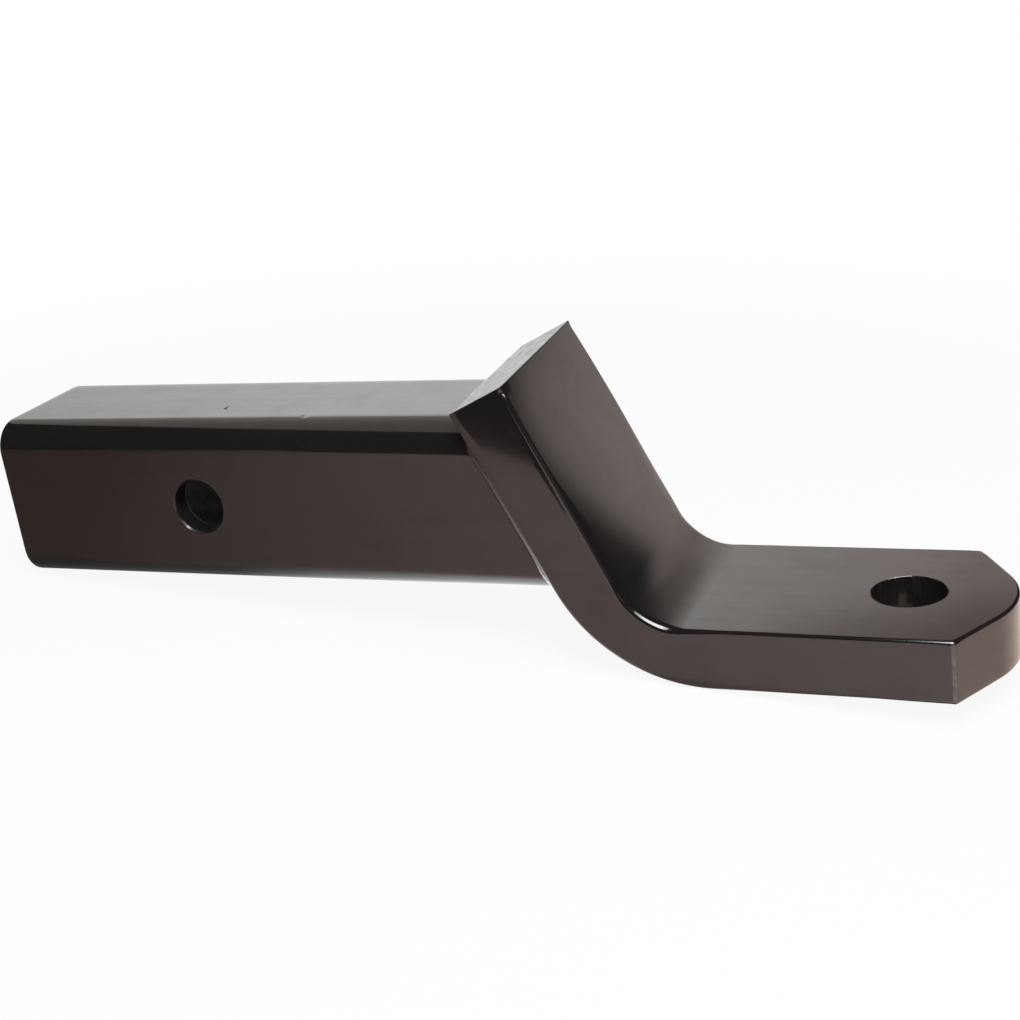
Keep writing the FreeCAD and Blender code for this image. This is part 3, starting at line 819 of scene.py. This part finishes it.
def build_bar_mesh(sizes):
    """The bent bar with its edges, before its ball hole."""
    bar = BentBar(sizes)
    thick = sizes.thickness
    near_rows, far_rows, across = bar_rows(bar)
    rows, columns = len(near_rows), len(across)
    outline = plan_outline(bar, near_rows, far_rows, across)
    nose_from = bar.q_of_x(bar.corner_x) - NOSE_BLEND
    maker = bmesh.new()

    def vert(q, y, w):
        return maker.verts.new(bar.spot(q, y, w) * MM)

    def ring(moves):
        """A loop round the bar, each point moved inwards and set at its height w."""
        return [vert(*point.moved_in(inset), w) for point, (inset, w) in zip(outline, moves)]

    def face_grid(insets, w, flip):
        """A broad face: the ring at its boundary, which is given back, and the grid inside it."""
        plan = [point.moved_in(inset) for point, inset in zip(outline, insets)]
        near = plan[:rows]
        nose = plan[rows - 1:rows + columns - 1]
        far = list(reversed(plan[rows + columns - 2:rows * 2 + columns - 2]))
        rear = [near[0]] + list(reversed(plan[rows * 2 + columns - 2:])) + [far[0]]
        loop = ring([(inset, w) for inset in insets])
        grid = [[None] * columns for _ in range(rows)]
        for row in range(rows):
            grid[row][0] = loop[row]
            grid[row][-1] = loop[rows * 2 + columns - 3 - row]
        for column in range(1, columns - 1):
            grid[rows - 1][column] = loop[rows - 1 + column]
            grid[0][column] = loop[len(loop) - column]
        for row in range(1, rows - 1):
            q_here = (near_rows[row] + far_rows[row]) / 2
            nose_part = eased((q_here - nose_from) / NOSE_BLEND)
            rear_part = eased((-sizes.end_up + REAR_BLEND - q_here) / REAR_BLEND)
            for column in range(1, columns - 1):
                part = (across[column] / across[-1] + 1) / 2
                spot = [mixed(near[row][k], far[row][k], part) for k in (0, 1)]
                for share, edge in ((nose_part, nose), (rear_part, rear)):
                    for k in (0, 1):
                        spot[k] += share * (edge[column][k] - mixed(edge[0][k], edge[-1][k], part))
                grid[row][column] = vert(spot[0], spot[1], w)
        for row in range(rows - 1):
            for column in range(columns - 1):
                corners = [grid[row][column], grid[row + 1][column],
                           grid[row + 1][column + 1], grid[row][column + 1]]
                maker.faces.new(reversed(corners) if flip else corners)
        return loop

    tops = [point.top_profile() for point in outline]
    lows = [point.low_profile() for point in outline]
    rings = [face_grid([top[0][0] for top in tops], 1.0, True)]
    for step in range(1, len(tops[0])):
        rings.append(ring([(top[step][0], 1 - top[step][1] / thick) for top in tops]))
    for step in range(1, SIDE_STEPS):
        rings.append(ring([(0.0, mixed(1 - top[-1][1] / thick, low[0][1] / thick, step / SIDE_STEPS))
                           for top, low in zip(tops, lows)]))
    for step in range(len(lows[0]) - 1):
        rings.append(ring([(low[step][0], low[step][1] / thick) for low in lows]))
    rings.append(face_grid([low[-1][0] for low in lows], 0.0, False))
    for upper, lower in zip(rings, rings[1:]):
        bridge_loops(maker, upper, lower)
    bmesh.ops.recalc_face_normals(maker, faces=maker.faces)
    return maker


def bar_zones(finish):
    """Matt sheared end and ball hole wall, paler nose corners, and the marks of the shear and punch."""
    sizes = bpy.context.scene.drawbar_tongue
    bar = BentBar(sizes)
    x, y, z = finish.axes()
    up = z * math.sin(SLOPE) - (x - bar.joint_x * MM) * math.cos(SLOPE)
    skewed = up - y * (sizes.skew / (sizes.half_width - sizes.draw_in))
    sheared = skewed.ramp((sizes.end_up - 0.3) * MM, (sizes.end_up - 0.05) * MM)
    from_ball = ((x - sizes.ball_ahead * MM) ** 2 + y ** 2) ** 0.5
    wall = 1 - from_ball.ramp((sizes.ball_radius + 0.3) * MM, (sizes.ball_radius + 0.5) * MM)
    aside = abs(y) - sizes.half_width * MM
    from_corner = ((x - bar.corner_x * MM) ** 2 + aside ** 2) ** 0.5
    # The nose's upright corners are paler in colour
    pale_corner = 1 - from_corner.ramp(0.4 * MM, 0.95 * MM)
    through = x * math.sin(SLOPE) + z * math.cos(SLOPE)
    at = finish.node("ShaderNodeCombineXYZ", None, {0: y * 1100, 1: through * 90, 2: x * 700})
    return sheared.larger(wall), 0.0, pale_corner, finish.grain(1.0, 3, 0.6, at=at)


class DRAWBAR_OT_tongue(bpy.types.Operator):
    """Build the bent bar with its rolled edges and ball hole"""

    bl_idname = "drawbar.tongue"
    bl_label = "Build Bent Bar"

    def execute(self, context):
        sizes = context.scene.drawbar_tongue
        coat = coat_material("black_coat_bar", 0.035, 0.006, 0.0008, bar_zones)
        piece = piece_from("tongue_visual", build_bar_mesh(sizes), coat)
        low = -sizes.deck_drop - sizes.thickness
        profile = bore_profile(low, -sizes.deck_drop, sizes.ball_radius, sizes.ball_break)
        past_faces = (0, len(profile) - 1)

        def burr(row, round_):
            if row in past_faces:
                return 0.0
            return BURR * noise.noise(round_ * 5 + Vector((row * 3.1, 0, 0)))

        place, upright = Vector((sizes.ball_ahead, 0, 0)), Vector((0, 0, 1))
        cut_with(piece, turned("ball_hole_cutter", profile, place, upright, BALL_HOLE_STEPS, coat, burr))
        smooth(piece.data)
        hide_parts("tongue_bar")
        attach(piece, "root")
        return {"FINISHED"}


# Square tube


def square_ring(half, corner, corner_steps, flat_steps):
    """A rounded square as (place, normal) pairs in y and z, anticlockwise seen from +x."""
    points = []
    flat = half - corner
    for quarter in range(4):
        turn = math.pi / 2 * quarter
        right, up = math.cos(turn) * flat, math.sin(turn) * flat
        middle = Vector((right - up, up + right))
        for step in range(corner_steps):
            angle = turn + math.pi / 2 * step / corner_steps
            normal = Vector((math.cos(angle), math.sin(angle)))
            points.append((middle + normal * corner, normal))
        normal = Vector((math.cos(turn + math.pi / 2), math.sin(turn + math.pi / 2)))
        onward = Vector((-normal.y, normal.x))
        for step in range(flat_steps):
            points.append((middle + normal * corner + onward * (2 * flat * step / flat_steps), normal))
    return points


# Steps of the tube's mesh: round a corner, along a flat side, along its outside and inside, and over the
# outer and the inner edge of its rear end
TUBE_CORNER_STEPS = 14
TUBE_FLAT_STEPS = 18
OUTSIDE_STEPS = 70
INSIDE_STEPS = 40
REAR_EDGE_STEPS = 5
BORE_EDGE_STEPS = 3

# How deep in mm the tube's walls are hollow in places
TUBE_SAG = 0.05


def build_shank_mesh(sizes):
    """The tube with broken ends, before its pin hole."""
    half = sizes.side / 2
    outer = square_ring(half, sizes.corner, TUBE_CORNER_STEPS, TUBE_FLAT_STEPS)
    inner = square_ring(half - sizes.wall, sizes.bore_corner, TUBE_CORNER_STEPS, TUBE_FLAT_STEPS)
    rear = -sizes.behind_pin
    maker = bmesh.new()

    def ring(section, part, inset, back):
        """A loop at a part of the way to the slanted front, from back mm ahead of the rear end."""
        made = []
        for spot, normal in section:
            y, z = spot - normal * inset
            x = mixed(rear + back, sizes.joint_ahead - z / math.tan(SLOPE), part)
            sag = min(TUBE_SAG * noise.noise(Vector((x / 38, y / 17, z / 17))), 0)
            made.append(maker.verts.new(Vector((x, y + normal.x * sag, z + normal.y * sag)) * MM))
        return made

    def rounded(section, size, start, end, steps):
        """Loops over the edge of the rear end. The size is below 0 at the inside of the tube."""
        return [ring(section, 0.0, size * (1 - math.cos(lean)), abs(size) * (1 - math.sin(lean)))
                for lean in spread(start, end, steps)]

    rings = [ring(outer, 1.0, 0, 0)]
    for part in reversed(spread(0, 1, OUTSIDE_STEPS)[1:-1]):
        rings.append(ring(outer, part, 0, sizes.rear_break))
    rings += rounded(outer, sizes.rear_break, 0, math.pi / 2, REAR_EDGE_STEPS)
    rings += rounded(inner, -sizes.edge_break, math.pi / 2, 0, BORE_EDGE_STEPS)
    for part in spread(0, 1, INSIDE_STEPS)[1:-1]:
        rings.append(ring(inner, part, 0, sizes.edge_break))
    rings.append(ring(inner, 1.0, 0, 0))
    for first, second in zip(rings, rings[1:] + rings[:1]):
        bridge_loops(maker, first, second)
    bmesh.ops.recalc_face_normals(maker, faces=maker.faces)
    return maker


def tube_zones(finish):
    """Bare inside, matt sawn end and pin hole walls, and the saw lines."""
    sizes = bpy.context.scene.drawbar_shank
    x, y, z = finish.axes()
    bore = sizes.side / 2 - sizes.wall
    from_axis = abs(y).larger(abs(z))
    inside = 1 - from_axis.ramp((bore + 0.1) * MM, (bore + 0.4) * MM)
    sawn = 1 - x.ramp((0.1 - sizes.behind_pin) * MM, (0.5 - sizes.behind_pin) * MM)
    from_pin = (x ** 2 + z ** 2) ** 0.5
    wall = 1 - from_pin.ramp((sizes.pin_radius + 0.35) * MM, (sizes.pin_radius + 0.55) * MM)
    marks = finish.grain(1.0, 3, 0.6, at=finish.stretched((240, 35, 1500)))
    return inside.larger(sawn).larger(wall), inside, 0.0, marks


class DRAWBAR_OT_shank(bpy.types.Operator):
    """Build the square tube with its pin hole"""

    bl_idname = "drawbar.shank"
    bl_label = "Build Square Tube"

    def execute(self, context):
        sizes = context.scene.drawbar_shank
        coat = coat_material("black_coat_tube", 0.05, 0.006, 0.001, tube_zones)
        piece = piece_from("shank_visual", build_shank_mesh(sizes), coat)
        half = sizes.side / 2
        profile = bore_profile(-half, half, sizes.pin_radius, sizes.edge_break)
        cut_with(piece, turned("pin_hole_cutter", profile, Vector((0, 0, 0)), ACROSS, PIN_HOLE_STEPS, coat))
        nick(piece, (5.1, -8.7, half), (-0.17, 0.98, 0), 2.7, 0.75, 0.24, coat)
        nick(piece, (36.4, -16.6, half), (-0.25, 0.97, 0.03), 2.2, 0.45, 0.12, coat)
        smooth(piece.data)
        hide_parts("shank_tube")
        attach(piece, "root")
        return {"FINISHED"}


# Weld


# How deep in mm the weld's root lies in both pieces, over how many mm its leg wanders, and by which share
WELD_ROOT = 0.15
WANDER_LENGTH = 9
WANDER = 0.10

# How full the weld's face is, from 1 for a flat one to 2 for a round one, and how peaked its ripples are
WELD_FULLNESS = 1.25
RIPPLE_POWER = 0.6

# Steps of the weld's mesh: round a corner of the tube, along a side of it and over the weld's face
WELD_CORNER_STEPS = 40
WELD_SIDE_STEPS = 62
WELD_FACE_STEPS = 9


def build_weld_mesh(shank, weld):
    """A rippled fillet all round the tube where it meets the back of the bar."""
    maker = bmesh.new()
    back = Vector((-1, 0, 0))
    loops = []
    length = 0.0
    before = None
    for (y, z), normal in square_ring(shank.side / 2, shank.corner, WELD_CORNER_STEPS, WELD_SIDE_STEPS):
        joint = Vector((shank.joint_ahead - z / math.tan(SLOPE), y, z))
        if before is not None:
            length += (joint - before).length
        before = joint
        out = (ACROSS * normal.x + UP_SLOPE * normal.y).normalized()
        wander = 1 + WANDER * noise.noise(Vector((length / WANDER_LENGTH, 0.3, 0)))
        ripple = abs(math.sin(math.pi * length / weld.ripple)) ** RIPPLE_POWER - 0.5
        loop = [maker.verts.new((joint - (back + out) * WELD_ROOT) * MM)]
        for lean in spread(0, math.pi / 2, WELD_FACE_STEPS):
            full = math.cos(lean) ** WELD_FULLNESS + math.sin(lean) ** WELD_FULLNESS
            reach = weld.leg * wander * full ** (-1 / WELD_FULLNESS)
            reach += weld.ripple_height * ripple * math.sin(2 * lean)
            way = back * math.cos(lean) + out * math.sin(lean)
            loop.append(maker.verts.new((joint + way * reach) * MM))
        loops.append(loop)
    for first, second in zip(loops, loops[1:] + loops[:1]):
        bridge_loops(maker, first, second)
    bmesh.ops.recalc_face_normals(maker, faces=maker.faces)
    return maker


class DRAWBAR_OT_weld(bpy.types.Operator):
    """Build the rippled weld round the tube"""

    bl_idname = "drawbar.weld"
    bl_label = "Build Weld"

    def execute(self, context):
        shank = context.scene.drawbar_shank
        weld = context.scene.drawbar_weld
        coat = coat_material("black_coat_weld", 0.02, 0.02, 0.004)
        piece = piece_from("weld_visual", build_weld_mesh(shank, weld), coat, 40)
        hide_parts("weld_bead")
        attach(piece, "root")
        return {"FINISHED"}


# Studio


# Painted reflections, as (place in m, tone): the floor in front, with painted shade to the left, the floor
# underneath, with painted shadow near the object and a painted bright strip, the paper behind with its
# painted shade, and how solid that paper is away from the middle of its rounded corner
FRONT_TONES = (
    (-0.31, (0.10, 0.07, 0.05)), (-0.10, (0.225, 0.14, 0.123)), (0.0, (0.46, 0.35, 0.32)),
    (0.09, (0.75, 0.59, 0.555)), (0.213, (1.0, 0.80, 0.77)),
)
UNDER_TONES = (
    (-0.1, 0.05), (0.0, 0.16), (0.085, 1.38), (0.125, 1.38), (0.14, 0.09), (0.2, 0.09),
    (0.24, (0.92, 0.72, 0.62)),
)
PAPER_TONES = (
    (-0.25, 0.67), (-0.12, 0.83), (0.0, 0.92), (0.12, (0.71, 0.67, 0.63)), (0.195, (0.62, 0.525, 0.495)),
    (0.25, (1.0, 0.86, 0.80)),
)
PAPER_EDGE = ((0.05, 1.0), (0.088, 0.58), (0.101, 0.0))
PAPER_BEHIND = 0.20
PAPER_ROUND = (0.15, 0.06)
# Painted shade at the paper's upper right, and a painted highlight along its upper left
PAPER_PAINTED_SHADE = (0.42, 0.34, 0.32)
PAPER_PAINTED_HIGHLIGHT = (1.25, 1.25, 1.23)
# Strength of a glow over the lamp that paints brighter highlights of it in reflections
PAINTED_HIGHLIGHT_GLOW = 11.0

# Where the floor's painted reflection tones change over, in m: to those underneath, to those behind and at
# the right end
UNDER_FROM = (-0.038, -0.025)
BEHIND_FROM = (0.02, 0.09)
RIGHT_FROM = (0.2, 0.24)
FLOOR_BEHIND = (0.92, 0.90, 0.88)

# The tones in front hold at this y in m, and slant to the right behind it
FRONT_LINE = -0.1
FRONT_SLANT = 0.55

# The floor's shape in m
FLOOR_MIDDLE = (0.09, 0.1)
FLOOR_RADII = (0.3, 0.7, 1.2, 1.8, 2.4)
FLOOR_STEPS = 72

# The floor's own colour, how much of it the camera sees near the object, and where that ends, in m
FLOOR_WHITE = (0.86, 0.86, 0.86, 1)
SHADOW_SHARE = 0.08
SHADOW_MIDDLE = 0.09
SHADOW_END = (0.22, 0.5)

# The cards that only reflections show, painting what the coat reflects, in m: corners as x and height over
# the floor, or as x, y and z
PAPER_CORNERS = ((-0.45, 0.0), (0.26, 0.0), (0.26, 0.17), (-0.45, 0.17))
# A dark card, seen only in reflections, that paints shade on the bar's near side by its sheared end
FLAG_CORNERS = ((-0.2, 0.0), (0.085, 0.0), (0.085, 0.12), (-0.2, 0.12))
FLAG_SLANT = 0.96
FLAG_FRONT = -0.227
UPPER_CORNERS = ((-0.03, -0.185, 0.325), (-0.03, 1.3, 0.325), (-1.6, 1.385, 0.325))
OVER_CORNERS = ((0.10, -0.62, 0.68), (0.85, -0.62, 0.68), (0.85, 0.02, 0.68), (0.10, 0.02, 0.68))
SIDE_MIDDLE = Vector((0.508, -0.232, 0.108))
SIDE_ALONG = Vector((0.453, 0.851, 0))
SIDE_CORNERS = ((-0.06, -0.06), (0.06, -0.06), (0.06, 0.06), (-0.06, 0.06))


def above_floor(x, z):
    """Height over the floor, of numbers or wires."""
    return (x - FLOOR_POINT.x) * FLOOR_UP.x + (z - FLOOR_POINT.z) * FLOOR_UP.z


def floor_spot(x, y, height=0.0):
    """A place over the floor."""
    z = FLOOR_POINT.z + (height - (x - FLOOR_POINT.x) * FLOOR_UP.x) / FLOOR_UP.z
    return Vector((x, y, z))


def ground_material(name, studio):
    """Pale ground: white to the camera, with a soft shadow; to reflections a glow of painted light and shade,
    darker to the left.
    """
    finish = Finish(bpy.data.materials.new(name))
    to_camera, in_gloss, through = finish.light_path("Camera", "Glossy", "Transmission")
    x, y, _ = finish.axes()
    away = ((x - SHADOW_MIDDLE) ** 2 + y ** 2) ** 0.5
    # What the coat reflects of the floor is a glow with painted shade, painted shadow and a painted bright
    # strip, not the lit floor
    front = finish.toned(x - (y - FRONT_LINE) * FRONT_SLANT, FRONT_TONES)
    painted_floor_reflection = finish.shade(y.ramp(*UNDER_FROM), front, finish.toned(x, UNDER_TONES))
    painted_floor_reflection = finish.shade(y.ramp(*BEHIND_FROM) * (1 - x.ramp(*RIGHT_FROM)), painted_floor_reflection, FLOOR_BEHIND)
    matt = finish.node("ShaderNodeBsdfDiffuse", None, {"Color": FLOOR_WHITE})
    white = finish.glow((1, 1, 1, 1), studio.background)
    shown = (to_camera * (1 - SHADOW_SHARE + away.ramp(*SHADOW_END) * SHADOW_SHARE)).larger(through)
    return finish.close(finish.blend(in_gloss, finish.blend(shown, matt, white), finish.glow(painted_floor_reflection)))


def paper_reflection_material(name):
    """Paper behind the object as a glow seen only in reflections: painted shade makes it dimmer to the right
    and at its upper right, a painted highlight runs along its upper left, and its far corner is rounded.
    """
    finish = Finish(bpy.data.materials.new(name))
    x, _, z = finish.axes()
    right = (x - PAPER_ROUND[0]).larger(0.0)
    high = (above_floor(x, z) - PAPER_ROUND[1]).larger(0.0)
    share = finish.toned((right ** 2 + high ** 2) ** 0.5, PAPER_EDGE)
    tone = finish.toned(x, PAPER_TONES)
    # Painted shade at the upper right and a painted highlight along the upper left of the glow the coat
    # reflects
    painted_shade_right = high.ramp(0.05, 0.068) * x.ramp(0.1, 0.17) * 0.7
    tone = finish.shade(painted_shade_right, tone, PAPER_PAINTED_SHADE)
    painted_highlight_left = high.ramp(0.051, 0.058) * (1 - x.ramp(0.0, 0.1)) * 0.35
    tone = finish.shade(painted_highlight_left, tone, PAPER_PAINTED_HIGHLIGHT)
    return finish.close(finish.blend(share, finish.clear(), finish.glow(tone)))


def painted_highlight_material(name):
    """A painted highlight: a glow over the lamp, brighter than it and seen only in reflections, dimmer
    towards its two ends.
    """
    finish = Finish(bpy.data.materials.new(name))
    x, _, _ = finish.axes()
    share = x.ramp(0.14, 0.23) * (1 - x.ramp(0.5, 0.85) * 0.7)
    return finish.close(finish.blend(share, finish.clear(), finish.glow((1, 0.99, 0.98, 1), PAINTED_HIGHLIGHT_GLOW)))


def plain_glow(name, colour):
    finish = Finish(bpy.data.materials.new(name))
    return finish.close(finish.glow((*colour, 1)))


def build_floor(studio):
    """A round floor, finer near the object."""
    maker = bmesh.new()
    rings = []
    for radius in FLOOR_RADII:
        ring = []
        for step in range(FLOOR_STEPS):
            angle = math.tau * step / FLOOR_STEPS
            x, y = FLOOR_MIDDLE[0] + radius * math.cos(angle), FLOOR_MIDDLE[1] + radius * math.sin(angle)
            ring.append(maker.verts.new(floor_spot(x, y)))
        rings.append(ring)
    maker.faces.new(rings[0])
    for inner, outer in zip(rings, rings[1:]):
        bridge_loops(maker, inner, outer)
    bmesh.ops.recalc_face_normals(maker, faces=maker.faces)
    piece_from("floor", maker, ground_material("pale_ground", studio))


def reflected_card(name, corners, material):
    """A flat card that lights nothing and shows only in reflections. Corners are in metres."""
    maker = bmesh.new()
    maker.faces.new([maker.verts.new(corner) for corner in corners])
    card = piece_from(name, maker, material)
    card.visible_camera = False
    card.visible_diffuse = False
    card.visible_shadow = False


def build_cards():
    """Painted reflections: the paper behind, the glows over and beside the object, and a dark card in front
    of the bar that paints shade on its near side.
    """
    paper = [floor_spot(x, PAPER_BEHIND, height) for x, height in PAPER_CORNERS]
    reflected_card("backdrop_paper", paper, paper_reflection_material("paper_painted_reflection"))
    # Two dim glows, over and beside the object, paint reflections on the coat's edges
    reflected_card("backdrop_upper", UPPER_CORNERS, plain_glow("dim_painted_reflection", (0.44, 0.40, 0.36)))
    side = [SIDE_MIDDLE + SIDE_ALONG * across + Vector((0, 0, 1)) * up for across, up in SIDE_CORNERS]
    reflected_card("backdrop_side", side, plain_glow("side_painted_reflection", (0.5, 0.45, 0.42)))
    flag = [floor_spot(x, FLAG_SLANT * x + FLAG_FRONT, height) for x, height in FLAG_CORNERS]
    # Painted shade: a dark card the bar's near side reflects
    reflected_card("backdrop_flag", flag, plain_glow("painted_dark_reflection", (0.02, 0.015, 0.015)))
    # Painted highlight: a bright glow over the lamp that only reflections show
    reflected_card("backdrop_over", OVER_CORNERS, painted_highlight_material("painted_lamp_highlight"))


LAMP_PLACE = (0.37, -0.30, 0.69)
LAMP_SIZE = (0.54, 0.60)


def add_lamp(studio):
    """A rectangular softbox that shines straight down."""
    light = bpy.data.lights.new("key_lamp", "AREA")
    light.shape = "RECTANGLE"
    light.size, light.size_y = LAMP_SIZE
    light.energy = studio.key_power
    lamp = bpy.data.objects.new("key_lamp", light)
    lamp.location = LAMP_PLACE
    lamp.rotation_euler = Vector((0, 0, -1)).to_track_quat("-Z", "Y").to_euler()
    lamp.visible_camera = False
    bpy.context.collection.objects.link(lamp)


def build_world(studio):
    """White to the camera, dark in reflections and softly lit otherwise."""
    room = Finish(bpy.data.worlds.new("room"))
    shown = None
    in_gloss, through, to_camera = room.light_path("Glossy", "Transmission", "Camera")
    for part, strength in ((None, studio.surround), (in_gloss, studio.mirrored_room),
                           (through, studio.background), (to_camera, studio.background)):
        light = room.node("ShaderNodeBackground", None, {"Color": (1, 1, 1, 1), "Strength": strength})
        shown = light if part is None else room.blend(part, shown, light)
    bpy.context.scene.world = room.close(shown, "ShaderNodeOutputWorld")


CAMERA_PLACE = (0.276748, -0.408389, 0.155738)
CAMERA_RIGHT = (0.920794, 0.367795, -0.129869)
CAMERA_DOWN = (0.016208, -0.368745, -0.929389)
CAMERA_AHEAD = (-0.389713, 0.853671, -0.345499)


def add_camera(studio):
    """The camera, at the place and angle from which the drawbar is seen."""
    camera = bpy.data.cameras.new("camera")
    camera.sensor_width = 36
    camera.lens = studio.lens
    camera.clip_start = 0.01
    camera.clip_end = 20
    holder = bpy.data.objects.new("camera", camera)
    right, up, back = Vector(CAMERA_RIGHT), -Vector(CAMERA_DOWN), -Vector(CAMERA_AHEAD)
    turn = Matrix((right, up, back)).transposed().to_4x4()
    holder.matrix_world = Matrix.Translation(CAMERA_PLACE) @ turn
    bpy.context.collection.objects.link(holder)
    bpy.context.scene.camera = holder


class DRAWBAR_OT_studio(bpy.types.Operator):
    """Set the floor, backdrop, lamps, world and camera"""

    bl_idname = "drawbar.studio"
    bl_label = "Set Studio"

    def execute(self, context):
        studio = context.scene.drawbar_studio
        build_floor(studio)
        build_cards()
        build_world(studio)
        add_lamp(studio)
        add_camera(studio)
        context.scene.view_settings.view_transform = "Standard"
        return {"FINISHED"}


class VIEW3D_PT_drawbar(bpy.types.Panel):
    """Lists the steps that dress the drawbar"""

    bl_label = "Drawbar"
    bl_category = "Drawbar"
    bl_space_type = "VIEW_3D"
    bl_region_type = "UI"

    def draw(self, context):
        scene = context.scene
        for title, group in (("Tube", scene.drawbar_shank), ("Bent bar", scene.drawbar_tongue),
                             ("Weld", scene.drawbar_weld), ("Coat", scene.drawbar_coat),
                             ("Studio", scene.drawbar_studio)):
            box = self.layout.box()
            box.label(text=title)
            for name in group.__annotations__:
                box.prop(group, name)
        for step in STEPS:
            self.layout.operator(step.bl_idname)


STEPS = (DRAWBAR_OT_shank, DRAWBAR_OT_tongue, DRAWBAR_OT_weld, DRAWBAR_OT_studio)
GROUPS = {
    "drawbar_shank": DrawbarShankSizes,
    "drawbar_tongue": DrawbarTongueSizes,
    "drawbar_weld": DrawbarWeldSizes,
    "drawbar_coat": DrawbarCoat,
    "drawbar_studio": DrawbarStudio,
}


def register():
    for name, group in GROUPS.items():
        bpy.utils.register_class(group)
        setattr(bpy.types.Scene, name, bpy.props.PointerProperty(type=group))
    for step in STEPS:
        bpy.utils.register_class(step)
    bpy.utils.register_class(VIEW3D_PT_drawbar)


def unregister():
    bpy.utils.unregister_class(VIEW3D_PT_drawbar)
    for step in reversed(STEPS):
        bpy.utils.unregister_class(step)
    for name, group in reversed(GROUPS.items()):
        delattr(bpy.types.Scene, name)
        bpy.utils.unregister_class(group)


def main():
    register()
    bpy.ops.drawbar.shank()
    bpy.ops.drawbar.tongue()
    bpy.ops.drawbar.weld()
    bpy.ops.drawbar.studio()


if __name__ == "__main__":
    main()
